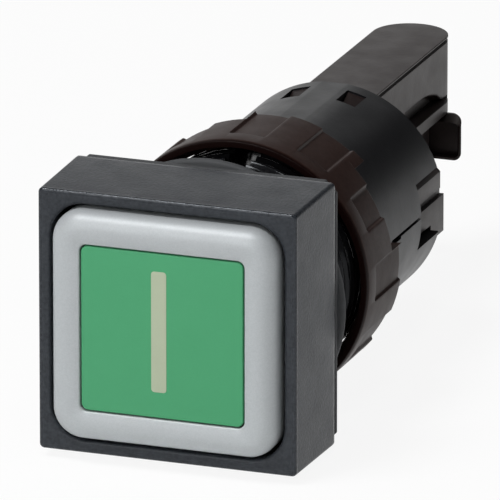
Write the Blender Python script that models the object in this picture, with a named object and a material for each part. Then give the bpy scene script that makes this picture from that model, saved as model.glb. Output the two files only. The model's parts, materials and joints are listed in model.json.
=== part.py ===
"""Industrial push button for a round panel hole, modelled as an assembly.

Sizes are in millimetres and turned into metres where a mesh is made. +Z is up, the button faces -Y,
and the origin lies on the button's axis in the plane where the gasket seats on the panel.
"""

import math

import bmesh
import bpy
from mathutils import Matrix, Vector

MM = 0.001

# Clearances
SEAT = 0.1
SLIDE = 0.25
ROUND_STEPS = 48
SMALL_STEPS = 32
CORNER_STEPS = 6
SMOOTH_ANGLE = math.radians(35)

# Gasket and seal plate, from the panel forwards
GASKET_THICKNESS = 0.6
GASKET_WIDTH = 1.45
SEAL_PLATE_THICKNESS = 0.4
SEAL_PLATE_CUT = 0.8

# Bezel
BEZEL_SIDE = 18.2
BEZEL_DRAFT = 0.1
BEZEL_DEPTH = 7.3
BEZEL_WALL = 0.85
BEZEL_FLOOR = 1.4
BEZEL_EDGE = 0.25
APERTURE_CORNER = 2.4
LOCK_RING_INSET = 0.15
LOCK_RING_LENGTH = 0.9

# Barrel, from the panel rearwards
THREAD_RADIUS = 7.95
THREAD_LENGTH = 11.0
BODY_RADIUS = 7.75
BODY_LENGTH = 24.5
NECK_WALL = 0.7
NECK_STEP = 0.75
REAR_WALL = 1.35
WEB_FRONT = 8.5
WEB_THICKNESS = 1.5
KEYWAY_WIDTH = 1.8
KEYWAY_DEPTH = 0.55
WINDOW_OFFSET = 2.0
WINDOW_WIDTH = 1.35
WINDOW_LENGTH = 2.4
WINDOW_CENTRE = 22.0
SLOT_FRONT = 20.0
SLOT_TOP = 2.5
SLOT_BOTTOM = 2.1
SLIT_FRONT = 14.0
SLIT_WIDTH = 0.3
SLIT_DEPTH = 0.5
SLIT_HEIGHT = 0.26
SLIT_NOTCH_LENGTH = 1.8
SLIT_NOTCH_WIDTH = 0.45

# Ring nut: grip pads all round and a crown of broad teeth for a spanner at its rear
NUT_GRIP = 4.75
NUT_LENGTH = 6.95
NUT_WALL = 1.1
NUT_LIP_LENGTH = 1.65
NUT_LIP_WALL = 0.6
NUT_RECESS_DEPTH = 2.0
NUT_PADS = 12
NUT_PHASE = math.radians(14)
NUT_VALLEY = 0.2
CROWN_TEETH = 4
CROWN_PHASE = math.radians(26)
CROWN_GAP = math.radians(38)
CROWN_DEPTH = 1.8

# Push surface
BUTTON_TRAVEL = 3.0
FRAME_GAP = 0.2
FRAME_PROUD = 1.15
FRAME_BEVEL = 1.2
FRAME_CORNER = 2.1
FRAME_SKIRT = 0.9
PLATE_SIDE = 11.3
PLATE_CORNER = 0.45
PLATE_THICKNESS = 0.9
PLATE_RECESS = 0.2
INSERT_THICKNESS = 0.3
BEVEL_RINGS = 5

# Plunger and spring
BOSS_RADIUS = 3.5
COLLAR_INSET = 0.2
COLLAR_LENGTH = 2.0
STEM_RADIUS = 2.6
SPIGOT_RADIUS = 1.0
SEAL_SECTION = 0.42
SPRING_RADIUS = 4.4
SPRING_WIRE = 0.3
SPRING_TURNS = 6
SPRING_POINTS = 10
SPRING_CLEARANCE = 0.1
SPRING_SEAT_THICKNESS = 0.5
SPRING_SEAT_RADIUS = 5.6
CLIP_THICKNESS = 0.6
CLIP_RADIUS = 4.0
CLIP_GROOVE = 0.5
CLIP_OPENING = 3.4

# Crosshead and side rails
CROSSHEAD_FRONT = 12.0
CROSSHEAD_LENGTH = 2.0
CROSSHEAD_HEIGHT = 3.2
RAIL_INSET = 1.0
RAIL_DEPTH = 1.9
RAIL_ARM = 1.1
RAIL_REACH = 3.0
RAIL_TOP = 1.8
RAIL_STEP = 0.25
RAIL_GROOVE = 0.35
RAIL_FOOT = 3.0
RAIL_FOOT_GAP = 0.3

# Contact carrier
ROOT_HALF_WIDTH = 3.3
ROOT_LENGTH = 6.6
ROOT_BOTTOM = 3.6
ROOT_REACH = 0.6
LUG_DROP = 0.3
TONGUE_HALF_WIDTH = 2.63
TONGUE_DROP = 0.95
TONGUE_HEIGHT = 5.1
TONGUE_LENGTH = 17.8
LEDGE_WIDTH = 0.5
LEDGE_HEIGHT = 0.5
SPINE_HALF_WIDTH = 2.2
SPINE_HEIGHT = 3.1
SPINE_CUT = 3.0
POCKET_FRONT = 36.3
POCKET_LENGTH = 2.7
POCKET_REACH = 4.0
POCKET_HEIGHT = 2.1
POCKET_WALL = 0.35

# Planes across the axis, worked out from the sizes above
GASKET_FRONT = -GASKET_THICKNESS
SEAL_PLATE_REAR = GASKET_FRONT - SEAT
SEAL_PLATE_FRONT = SEAL_PLATE_REAR - SEAL_PLATE_THICKNESS
BEZEL_REAR = SEAL_PLATE_FRONT - SEAT
BEZEL_FRONT = BEZEL_REAR - BEZEL_DEPTH
FLOOR_FRONT = BEZEL_REAR - BEZEL_FLOOR
LOCK_RING_REAR = FLOOR_FRONT - SEAT
LOCK_RING_FRONT = LOCK_RING_REAR - LOCK_RING_LENGTH
WEB_REAR = WEB_FRONT + WEB_THICKNESS
NUT_REAR = NUT_GRIP + NUT_LENGTH
FRAME_FRONT = BEZEL_FRONT - FRAME_PROUD
FRAME_REAR = LOCK_RING_FRONT - SEAT - BUTTON_TRAVEL
PLATE_FRONT = FRAME_FRONT + PLATE_RECESS
PLATE_REAR = PLATE_FRONT + PLATE_THICKNESS
INSERT_FRONT = PLATE_REAR + SEAT
FACE_REAR = INSERT_FRONT + INSERT_THICKNESS
BASE_FRONT = FACE_REAR + SEAT
COLLAR_FRONT = LOCK_RING_FRONT + COLLAR_INSET
COLLAR_REAR = COLLAR_FRONT + COLLAR_LENGTH
SEAT_REAR = WEB_FRONT - SEAT
SEAT_FRONT = SEAT_REAR - SPRING_SEAT_THICKNESS
CLIP_FRONT = WEB_REAR + SEAT
CLIP_REAR = CLIP_FRONT + CLIP_THICKNESS
CROSSHEAD_REAR = CROSSHEAD_FRONT + CROSSHEAD_LENGTH
TONGUE_FRONT = BODY_LENGTH + SEAT
TONGUE_REAR = TONGUE_FRONT + TONGUE_LENGTH
TONGUE_TOP = BODY_RADIUS - TONGUE_DROP
TONGUE_BOTTOM = TONGUE_TOP - TONGUE_HEIGHT
LEDGE_BOTTOM = TONGUE_BOTTOM - LEDGE_HEIGHT
RAIL_FRONT = SLOT_FRONT + SEAT
RAIL_REAR = BODY_LENGTH + RAIL_REACH

# Widths and bores, worked out from the sizes above
NECK_RADIUS = THREAD_RADIUS - NECK_STEP
FRONT_BORE = NECK_RADIUS - NECK_WALL
REAR_BORE = BODY_RADIUS - REAR_WALL
BARREL_HOLE = THREAD_RADIUS + SEAT
GASKET_RADIUS = BARREL_HOLE + GASKET_WIDTH
NUT_BORE = THREAD_RADIUS + SLIDE
NUT_RADIUS = NUT_BORE + NUT_WALL
APERTURE = BEZEL_SIDE - 2 * (BEZEL_DRAFT + BEZEL_WALL)
LOCK_RING_RADIUS = APERTURE / 2 - LOCK_RING_INSET
FRAME_SIDE = APERTURE - 2 * FRAME_GAP
BASE_SIDE = FRAME_SIDE - 2 * (FRAME_SKIRT + SEAT)
OPENING_SIDE = PLATE_SIDE + 2 * SEAT
COLLAR_RADIUS = FRONT_BORE - SLIDE
GROOVE_RADIUS = FRONT_BORE - SEAT - 2 * SEAL_SECTION - SEAT
CLIP_BORE = STEM_RADIUS - CLIP_GROOVE
RAIL_FACE = BODY_RADIUS - RAIL_INSET
RAIL_INNER = RAIL_FACE - RAIL_DEPTH

# Past every face that a cutter leaves through, and the distance at which points count as one
OVERSHOOT = 1.0
MERGE = 0.0001


def clear_scene():
    for item in list(bpy.data.objects):
        bpy.data.objects.remove(item, do_unlink=True)


def plastic(name, colour, roughness, metallic=0.0):
    material = bpy.data.materials.new(name)
    material.use_nodes = True
    shader = material.node_tree.nodes["Principled BSDF"]
    shader.inputs["Base Color"].default_value = (*colour, 1.0)
    shader.inputs["Roughness"].default_value = roughness
    shader.inputs["Metallic"].default_value = metallic
    return material


def finish(name, mesh_builder, material):
    """Turn a bmesh drawn in millimetres into a smooth-shaded object with outward faces."""
    bmesh.ops.scale(mesh_builder, vec=(MM, MM, MM), verts=mesh_builder.verts)
    bmesh.ops.recalc_face_normals(mesh_builder, faces=mesh_builder.faces)
    mesh = bpy.data.meshes.new(name)
    mesh_builder.to_mesh(mesh)
    mesh_builder.free()
    mesh.shade_smooth()
    mesh.set_sharp_from_angle(angle=SMOOTH_ANGLE)
    item = bpy.data.objects.new(name, mesh)
    bpy.context.scene.collection.objects.link(item)
    if material is None:
        item.hide_render = True
        item.display_type = "WIRE"
    else:
        mesh.materials.append(material)
    return item


def rounded_square(side, radius):
    """Outline of a square in X and Z with its corners rounded, from the right-hand side round."""
    points = []
    for corner in range(4):
        start = corner * math.pi / 2
        centre = Vector((side / 2 - radius, side / 2 - radius))
        centre.rotate(Matrix.Rotation(start, 2))
        for step in range(CORNER_STEPS + 1):
            angle = start + step / CORNER_STEPS * math.pi / 2
            points.append((centre.x + radius * math.cos(angle), centre.y + radius * math.sin(angle)))
    return points


def cut_square(side, cut):
    """Outline of a square in X and Z with its corners cut straight across."""
    half = side / 2
    points = []
    for corner in range(4):
        for x, z in ((half, half - cut), (half - cut, half)):
            point = Vector((x, z))
            point.rotate(Matrix.Rotation(corner * math.pi / 2, 2))
            points.append(tuple(point))
    return points


def rectangle(left, right, bottom, top):
    return [(right, bottom), (right, top), (left, top), (left, bottom)]


def loft(name, rings, material):
    """Skin outlines that have equal counts of points, each at its own Y, and close both ends."""
    builder = bmesh.new()
    loops = []
    for outline, y in rings:
        loops.append([builder.verts.new((x, y, z)) for x, z in outline])
    count = len(loops[0])
    for front, rear in zip(loops, loops[1:]):
        for index in range(count):
            after = (index + 1) % count
            builder.faces.new((front[index], front[after], rear[after], rear[index]))
    builder.faces.new(loops[0])
    builder.faces.new(loops[-1])
    return finish(name, builder, material)


def prism(name, outline, front, rear, material):
    return loft(name, [(outline, front), (outline, rear)], material)


def turned(name, profile, material, steps=ROUND_STEPS):
    """Turn a closed outline of (radius, y) points once round the Y axis."""
    builder = bmesh.new()
    corners = [builder.verts.new((radius, y, 0)) for radius, y in profile]
    outline = [builder.edges.new(pair) for pair in zip(corners, corners[1:] + corners[:1])]
    bmesh.ops.spin(
        builder,
        geom=corners + outline,
        cent=(0, 0, 0),
        axis=(0, 1, 0),
        angle=2 * math.pi,
        steps=steps,
        use_merge=True,
    )
    bmesh.ops.remove_doubles(builder, verts=builder.verts, dist=MERGE)
    return finish(name, builder, material)


def tube(name, inner, outer, front, rear, material, steps=ROUND_STEPS):
    return turned(name, [(inner, front), (outer, front), (outer, rear), (inner, rear)], material, steps)


def disc(name, radius, front, rear, material, steps=ROUND_STEPS):
    outline = []
    for step in range(steps):
        angle = step / steps * 2 * math.pi
        outline.append((radius * math.cos(angle), radius * math.sin(angle)))
    return prism(name, outline, front, rear, material)


def combine(item, tool, operation):
    modifier = item.modifiers.new(tool.name, "BOOLEAN")
    modifier.operation = operation
    modifier.solver = "EXACT"
    modifier.object = tool


def cut(item, *tools):
    for tool in tools:
        combine(item, tool, "DIFFERENCE")


def add(item, *tools):
    for tool in tools:
        combine(item, tool, "UNION")


def make_front(slate, rubber, brown):
    """Bezel with its seal plate, gasket and lock ring."""
    half_edge = BEZEL_EDGE / 2
    front_side = BEZEL_SIDE - 2 * BEZEL_DRAFT
    bezel = loft(
        "front_bezel",
        [
            (rounded_square(front_side - 2 * BEZEL_EDGE, BEZEL_EDGE), BEZEL_FRONT),
            (rounded_square(front_side - 2 * half_edge + half_edge, BEZEL_EDGE), BEZEL_FRONT + half_edge / 2),
            (rounded_square(front_side, BEZEL_EDGE), BEZEL_FRONT + BEZEL_EDGE),
            (rounded_square(BEZEL_SIDE, BEZEL_EDGE), BEZEL_REAR),
        ],
        slate,
    )
    inner_outline = rounded_square(APERTURE, APERTURE_CORNER)
    aperture = prism("aperture_cutter", inner_outline, BEZEL_FRONT - OVERSHOOT, FLOOR_FRONT, None)
    hole = disc("floor_cutter", NECK_RADIUS + SEAT, FLOOR_FRONT - OVERSHOOT, BEZEL_REAR + OVERSHOOT, None)
    cut(bezel, aperture, hole)
    plate_outline = cut_square(BEZEL_SIDE, SEAL_PLATE_CUT)
    plate = prism("bezel_seal_plate", plate_outline, SEAL_PLATE_FRONT, SEAL_PLATE_REAR, rubber)
    cut(plate, disc("plate_cutter", BARREL_HOLE, SEAL_PLATE_FRONT - OVERSHOOT, OVERSHOOT, None))
    tube("panel_gasket", BARREL_HOLE, GASKET_RADIUS, GASKET_FRONT, 0, rubber)
    tube("lock_ring", NECK_RADIUS + SEAT, LOCK_RING_RADIUS, LOCK_RING_FRONT, LOCK_RING_REAR, brown)


def make_barrel(slate):
    """Round body with neck, thread zone, inner web, keyway, windows and side slots."""
    shoulder = BEZEL_REAR + SEAT
    barrel = turned(
        "threaded_barrel",
        [
            (FRONT_BORE, LOCK_RING_FRONT),
            (NECK_RADIUS, LOCK_RING_FRONT),
            (NECK_RADIUS, shoulder),
            (THREAD_RADIUS, shoulder),
            (THREAD_RADIUS, THREAD_LENGTH),
            (BODY_RADIUS, THREAD_LENGTH),
            (BODY_RADIUS, BODY_LENGTH),
            (REAR_BORE, BODY_LENGTH),
            (REAR_BORE, WEB_REAR),
            (STEM_RADIUS + SLIDE, WEB_REAR),
            (STEM_RADIUS + SLIDE, WEB_FRONT),
            (FRONT_BORE, WEB_FRONT),
        ],
        slate,
    )
    half_key = KEYWAY_WIDTH / 2
    key_floor = THREAD_RADIUS - KEYWAY_DEPTH
    keyway = prism(
        "keyway_cutter",
        rectangle(-half_key, half_key, key_floor, THREAD_RADIUS + OVERSHOOT),
        0,
        BODY_LENGTH + OVERSHOOT,
        None,
    )
    cut(barrel, keyway)
    half_window = WINDOW_WIDTH / 2
    for side, word in ((-1, "left"), (1, "right")):
        centre = side * WINDOW_OFFSET
        window = prism(
            "window_cutter_" + word,
            rectangle(centre - half_window, centre + half_window, REAR_BORE / 2, BODY_RADIUS + OVERSHOOT),
            WINDOW_CENTRE - WINDOW_LENGTH / 2,
            WINDOW_CENTRE + WINDOW_LENGTH / 2,
            None,
        )
        inner, outer = sorted((side * REAR_BORE / 2, side * (BODY_RADIUS + OVERSHOOT)))
        slot = prism(
            "slot_cutter_" + word,
            rectangle(inner, outer, -SLOT_BOTTOM, SLOT_TOP),
            SLOT_FRONT,
            BODY_LENGTH + OVERSHOOT,
            None,
        )
        near, far = sorted((side * (BODY_RADIUS - SLIT_DEPTH), side * (BODY_RADIUS + OVERSHOOT)))
        slit = prism(
            "slit_cutter_" + word,
            rectangle(near, far, SLIT_HEIGHT - SLIT_WIDTH / 2, SLIT_HEIGHT + SLIT_WIDTH / 2),
            SLIT_FRONT,
            SLOT_FRONT + SEAT,
            None,
        )
        notch = prism(
            "notch_cutter_" + word,
            rectangle(near, far, SLIT_HEIGHT - SLIT_NOTCH_WIDTH, SLIT_HEIGHT),
            SLIT_FRONT - SEAT / 2,
            SLIT_FRONT + SLIT_NOTCH_LENGTH,
            None,
        )
        cut(barrel, window, slot, slit, notch)


def gap_cutter(name, count, phase, gap_angle, inner, front):
    """Cutter of one wedge-sided block for each of the gaps between pads or teeth of the nut."""
    outer = NUT_RADIUS + OVERSHOOT
    depth = NUT_REAR + OVERSHOOT - front
    builder = bmesh.new()
    for gap in range(count):
        middle = phase + gap * 2 * math.pi / count
        corners = []
        for radius, side in ((inner, -1), (outer, -1), (outer, 1), (inner, 1)):
            angle = middle + side * gap_angle / 2
            corners.append(builder.verts.new((radius * math.cos(angle), front, radius * math.sin(angle))))
        face = builder.faces.new(corners)
        grown = bmesh.ops.extrude_face_region(builder, geom=[face])
        pushed = [item for item in grown["geom"] if isinstance(item, bmesh.types.BMVert)]
        bmesh.ops.translate(builder, vec=(0, depth, 0), verts=pushed)
    return finish(name, builder, None)


def make_nut(brown):
    """Ring nut: thin front lip round a recess, grip pads behind it and a crown of teeth at the rear."""
    recess_floor = NUT_GRIP + NUT_RECESS_DEPTH
    lip_bore = NUT_RADIUS - NUT_LIP_WALL
    nut = turned(
        "ring_nut",
        [
            (NUT_BORE, recess_floor),
            (lip_bore, recess_floor),
            (lip_bore, NUT_GRIP),
            (NUT_RADIUS, NUT_GRIP),
            (NUT_RADIUS, NUT_REAR),
            (NUT_BORE, NUT_REAR),
        ],
        brown,
    )
    pad_angle = math.pi / NUT_PADS
    valley_floor = NUT_RADIUS - NUT_VALLEY
    valley_front = NUT_GRIP + NUT_LIP_LENGTH
    valleys = gap_cutter(
        "valley_cutter", NUT_PADS, NUT_PHASE + pad_angle, pad_angle, valley_floor, valley_front
    )
    crown = gap_cutter(
        "crown_cutter", CROWN_TEETH, CROWN_PHASE, CROWN_GAP, NUT_BORE - SEAT, NUT_REAR - CROWN_DEPTH
    )
    cut(nut, valleys, crown)


def make_push_surface(silver, green, pale, brown):
    """Bevelled frame with its plate, the legend insert behind it and the base that closes it."""
    rings = []
    for step in range(BEVEL_RINGS + 1):
        angle = step / BEVEL_RINGS * math.pi / 2
        side = FRAME_SIDE - 2 * FRAME_BEVEL * (1 - math.sin(angle))
        corner = max(FRAME_CORNER - FRAME_BEVEL * (1 - math.sin(angle)), PLATE_CORNER)
        rings.append((rounded_square(side, corner), FRAME_FRONT + FRAME_PROUD * (1 - math.cos(angle))))
    rings.append((rounded_square(FRAME_SIDE, FRAME_CORNER), FRAME_REAR))
    frame = loft("button_frame", rings, silver)
    opening_outline = rounded_square(OPENING_SIDE, PLATE_CORNER)
    opening = prism("opening_cutter", opening_outline, FRAME_FRONT - OVERSHOOT, FRAME_REAR, None)
    cavity_corner = FRAME_CORNER - FRAME_SKIRT
    cavity = prism(
        "cavity_cutter",
        rounded_square(BASE_SIDE + 2 * SEAT, cavity_corner),
        FACE_REAR,
        FRAME_REAR + OVERSHOOT,
        None,
    )
    cut(frame, opening, cavity)
    prism("button_plate", rounded_square(PLATE_SIDE, PLATE_CORNER), PLATE_FRONT, PLATE_REAR, green)
    prism("legend_insert", rounded_square(PLATE_SIDE, PLATE_CORNER), INSERT_FRONT, FACE_REAR, pale)
    base = prism("button_base", rounded_square(BASE_SIDE, cavity_corner), BASE_FRONT, FRAME_REAR, brown)
    cut(base, disc("boss_cutter", BOSS_RADIUS + SEAT, BASE_FRONT - OVERSHOOT, FRAME_REAR + OVERSHOOT, None))


def make_plunger(brown, rubber, steel):
    """Stem with collar and spigot, its rubber ring, the spring, its seat and the clip."""
    groove_half = SEAL_SECTION + SEAT
    groove_middle = COLLAR_FRONT + COLLAR_LENGTH / 2
    turned(
        "plunger",
        [
            (0, BASE_FRONT),
            (BOSS_RADIUS, BASE_FRONT),
            (BOSS_RADIUS, COLLAR_FRONT),
            (COLLAR_RADIUS, COLLAR_FRONT),
            (COLLAR_RADIUS, groove_middle - groove_half),
            (GROOVE_RADIUS, groove_middle - groove_half),
            (GROOVE_RADIUS, groove_middle + groove_half),
            (COLLAR_RADIUS, groove_middle + groove_half),
            (COLLAR_RADIUS, COLLAR_REAR),
            (STEM_RADIUS, COLLAR_REAR),
            (STEM_RADIUS, CLIP_FRONT - SEAT / 2),
            (CLIP_BORE - SEAT, CLIP_FRONT - SEAT / 2),
            (CLIP_BORE - SEAT, CLIP_REAR + SEAT / 2),
            (STEM_RADIUS, CLIP_REAR + SEAT / 2),
            (STEM_RADIUS, CROSSHEAD_FRONT - SEAT),
            (SPIGOT_RADIUS, CROSSHEAD_FRONT - SEAT),
            (SPIGOT_RADIUS, CROSSHEAD_REAR),
            (0, CROSSHEAD_REAR),
        ],
        brown,
        steps=SMALL_STEPS,
    )
    ring = []
    for step in range(SMALL_STEPS // 4):
        angle = -step / (SMALL_STEPS // 4) * 2 * math.pi
        radius = GROOVE_RADIUS + SEAT + SEAL_SECTION * (1 + math.cos(angle))
        ring.append((radius, groove_middle + SEAL_SECTION * math.sin(angle)))
    turned("plunger_ring", ring, rubber)
    seat_bore = STEM_RADIUS + SLIDE
    tube("spring_seat", seat_bore, SPRING_SEAT_RADIUS, SEAT_FRONT, SEAT_REAR, steel, steps=SMALL_STEPS)
    clip = tube("retaining_clip", CLIP_BORE, CLIP_RADIUS, CLIP_FRONT, CLIP_REAR, steel, steps=SMALL_STEPS)
    half_opening = CLIP_OPENING / 2
    opening = prism(
        "clip_cutter",
        rectangle(-half_opening, half_opening, -(CLIP_RADIUS + OVERSHOOT), 0),
        CLIP_FRONT - OVERSHOOT,
        CLIP_REAR + OVERSHOOT,
        None,
    )
    cut(clip, opening)


def make_spring(steel):
    """Compression spring between the collar and its seat, as one unbroken tube along a helix."""
    front = COLLAR_REAR + SPRING_CLEARANCE + SPRING_WIRE
    rear = SEAT_FRONT - SPRING_CLEARANCE - SPRING_WIRE
    count = SPRING_TURNS * SPRING_POINTS
    points = []
    for step in range(count + 1):
        share = step / count
        angle = share * SPRING_TURNS * 2 * math.pi
        x = SPRING_RADIUS * math.cos(angle)
        z = SPRING_RADIUS * math.sin(angle)
        points.append(Vector((x, front + share * (rear - front), z)))
    curve = bpy.data.curves.new("return_spring", "CURVE")
    curve.dimensions = "3D"
    curve.bevel_depth = SPRING_WIRE * MM
    curve.bevel_resolution = 1
    curve.use_fill_caps = True
    spline = curve.splines.new("POLY")
    spline.points.add(count)
    for target, point in zip(spline.points, points):
        target.co = (*(point * MM), 1)
    curve.materials.append(steel)
    spring = bpy.data.objects.new("return_spring", curve)
    bpy.context.scene.collection.objects.link(spring)
    least = min(
        (points[late] - points[early]).length
        for early in range(count + 1)
        for late in range(early + SPRING_POINTS // 2, count + 1)
    )
    print(f"return_spring least gap to itself: {least - 2 * SPRING_WIRE:.2f} mm")
    return spring


def make_pushers(brown):
    """Crosshead on the stem's spigot and the stepped rail that it carries on each side."""
    half_height = CROSSHEAD_HEIGHT / 2
    crosshead = prism(
        "pusher_crosshead",
        rectangle(-(RAIL_INNER - SEAT), RAIL_INNER - SEAT, -half_height, half_height),
        CROSSHEAD_FRONT,
        CROSSHEAD_REAR,
        brown,
    )
    spigot_hole = disc(
        "spigot_cutter",
        SPIGOT_RADIUS + SEAT,
        CROSSHEAD_FRONT - OVERSHOOT,
        CROSSHEAD_REAR + OVERSHOOT,
        None,
        steps=SMALL_STEPS,
    )
    cut(crosshead, spigot_hole)
    for side, word in ((-1, "left"), (1, "right")):
        near, far = sorted((side * RAIL_INNER, side * (RAIL_INNER + RAIL_ARM)))
        rail = prism(
            "pusher_rail_" + word,
            rectangle(near, far, -half_height, half_height),
            CROSSHEAD_FRONT,
            RAIL_REAR - SEAT,
            brown,
        )
        outline = [
            (side * RAIL_INNER, -(SLOT_BOTTOM - SLIDE)),
            (side * RAIL_FACE, -(SLOT_BOTTOM - SLIDE)),
            (side * RAIL_FACE, -RAIL_GROOVE),
            (side * (RAIL_FACE - 2 * RAIL_STEP), -RAIL_GROOVE),
            (side * (RAIL_FACE - 2 * RAIL_STEP), 0),
            (side * (RAIL_FACE - RAIL_STEP), 0),
            (side * (RAIL_FACE - RAIL_STEP), RAIL_TOP),
            (side * RAIL_INNER, RAIL_TOP),
        ]
        guide = prism("rail_guide_" + word, outline, RAIL_FRONT, RAIL_REAR, None)
        foot_near, foot_far = sorted((side * RAIL_INNER, side * RAIL_FACE))
        foot = prism(
            "rail_foot_" + word,
            rectangle(foot_near, foot_far, -RAIL_FOOT, -RAIL_GROOVE - SEAT),
            BODY_LENGTH + RAIL_FOOT_GAP,
            RAIL_REAR,
            None,
        )
        add(rail, guide, foot)


def make_carrier(brown):
    """Carrier: root in the barrel, snap lugs in the windows, long round-ended tongue, side pockets."""
    root_front = BODY_LENGTH - ROOT_LENGTH
    root = disc("contact_carrier", REAR_BORE - SEAT, root_front, BODY_LENGTH + ROOT_REACH, brown)
    wide = REAR_BORE + OVERSHOOT
    for side, word in ((-1, "left"), (1, "right")):
        near, far = sorted((side * ROOT_HALF_WIDTH, side * wide))
        cut(
            root,
            prism(
                "root_cutter_" + word,
                rectangle(near, far, -wide, wide),
                root_front - OVERSHOOT,
                TONGUE_REAR,
                None,
            ),
        )
    cut(
        root,
        prism(
            "root_floor_cutter",
            rectangle(-wide, wide, -wide, -ROOT_BOTTOM),
            root_front - OVERSHOOT,
            TONGUE_REAR,
            None,
        ),
    )
    ledge_half = TONGUE_HALF_WIDTH + LEDGE_WIDTH
    levels = (
        ("tongue_bar", TONGUE_HALF_WIDTH, TONGUE_BOTTOM - SEAT, TONGUE_TOP, 0),
        ("tongue_ledge", ledge_half, LEDGE_BOTTOM, TONGUE_BOTTOM, SPINE_CUT - LEDGE_WIDTH),
        ("tongue_spine", SPINE_HALF_WIDTH, LEDGE_BOTTOM - SPINE_HEIGHT, LEDGE_BOTTOM + SEAT, SPINE_CUT),
    )
    for name, half_width, bottom, top, short in levels:
        add(root, round_ended_bar(name, half_width, bottom, top, TONGUE_REAR - short))
    lug_top = BODY_RADIUS - LUG_DROP
    lug_half = WINDOW_WIDTH / 2 - SEAT
    pocket_middle = LEDGE_BOTTOM - POCKET_HEIGHT / 2
    for side, word in ((-1, "left"), (1, "right")):
        centre = side * WINDOW_OFFSET
        lug = prism(
            "lug_" + word,
            rectangle(centre - lug_half, centre + lug_half, REAR_BORE / 2, lug_top),
            WINDOW_CENTRE - WINDOW_LENGTH / 2 + SEAT,
            WINDOW_CENTRE + WINDOW_LENGTH / 2 - SEAT,
            None,
        )
        near, far = sorted((side * (SPINE_HALF_WIDTH - POCKET_WALL), side * POCKET_REACH))
        pocket = prism(
            "pocket_" + word,
            rectangle(near, far, pocket_middle - POCKET_HEIGHT / 2, pocket_middle + POCKET_HEIGHT / 2 + SEAT),
            POCKET_FRONT,
            POCKET_FRONT + POCKET_LENGTH,
            None,
        )
        near, far = sorted((side * SPINE_HALF_WIDTH, side * (POCKET_REACH - POCKET_WALL)))
        hollow = prism(
            "pocket_cutter_" + word,
            rectangle(
                near,
                far,
                pocket_middle - POCKET_HEIGHT / 2 + POCKET_WALL,
                pocket_middle + POCKET_HEIGHT / 2 - POCKET_WALL,
            ),
            POCKET_FRONT - OVERSHOOT,
            POCKET_FRONT + POCKET_LENGTH - POCKET_WALL,
            None,
        )
        add(root, lug, pocket)
        cut(root, hollow)
    return root


def round_ended_bar(name, half_width, bottom, top, rear):
    """Upright bar whose plan has a half-round rear end, drawn from the barrel's end to `rear`."""
    builder = bmesh.new()
    plan = [(half_width, TONGUE_FRONT), (half_width, rear - half_width)]
    for step in range(1, 2 * CORNER_STEPS):
        angle = step / (2 * CORNER_STEPS) * math.pi
        plan.append((half_width * math.cos(angle), rear - half_width + half_width * math.sin(angle)))
    plan += [(-half_width, rear - half_width), (-half_width, TONGUE_FRONT)]
    face = builder.faces.new([builder.verts.new((x, y, bottom)) for x, y in plan])
    grown = bmesh.ops.extrude_face_region(builder, geom=[face])
    risen = [item for item in grown["geom"] if isinstance(item, bmesh.types.BMVert)]
    bmesh.ops.translate(builder, vec=(0, 0, top - bottom), verts=risen)
    return finish(name, builder, None)


def group(name, nodes):
    """Parent the pieces that move together to an empty on their joint's axis."""
    pivot = bpy.data.objects.new(name, None)
    bpy.context.scene.collection.objects.link(pivot)
    for node in nodes:
        bpy.data.objects[node].parent = pivot


def build():
    clear_scene()
    slate = plastic("slate_plastic", (0.085, 0.09, 0.098), 0.55)
    brown = plastic("brown_black_plastic", (0.045, 0.036, 0.034), 0.45)
    silver = plastic("silver_paint", (0.58, 0.6, 0.62), 0.35, 0.5)
    green = plastic("green_plastic", (0.065, 0.36, 0.15), 0.5)
    pale = plastic("pale_card", (0.8, 0.78, 0.7), 0.7)
    rubber = plastic("grey_rubber", (0.1, 0.105, 0.11), 0.8)
    steel = plastic("spring_steel", (0.55, 0.55, 0.57), 0.3, 1.0)
    make_front(slate, rubber, brown)
    make_barrel(slate)
    make_nut(brown)
    make_push_surface(silver, green, pale, brown)
    make_plunger(brown, rubber, steel)
    make_spring(steel)
    make_pushers(brown)
    make_carrier(brown)
    group("nut_axis", ["ring_nut"])
    group(
        "button_axis",
        [
            "button_frame",
            "button_plate",
            "legend_insert",
            "button_base",
            "plunger",
            "plunger_ring",
            "retaining_clip",
            "pusher_crosshead",
            "pusher_rail_left",
            "pusher_rail_right",
        ],
    )


build()
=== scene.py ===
"""Looks of the industrial push button: the fine form and the finish of every piece, around its frame."""

import json
import math

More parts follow.
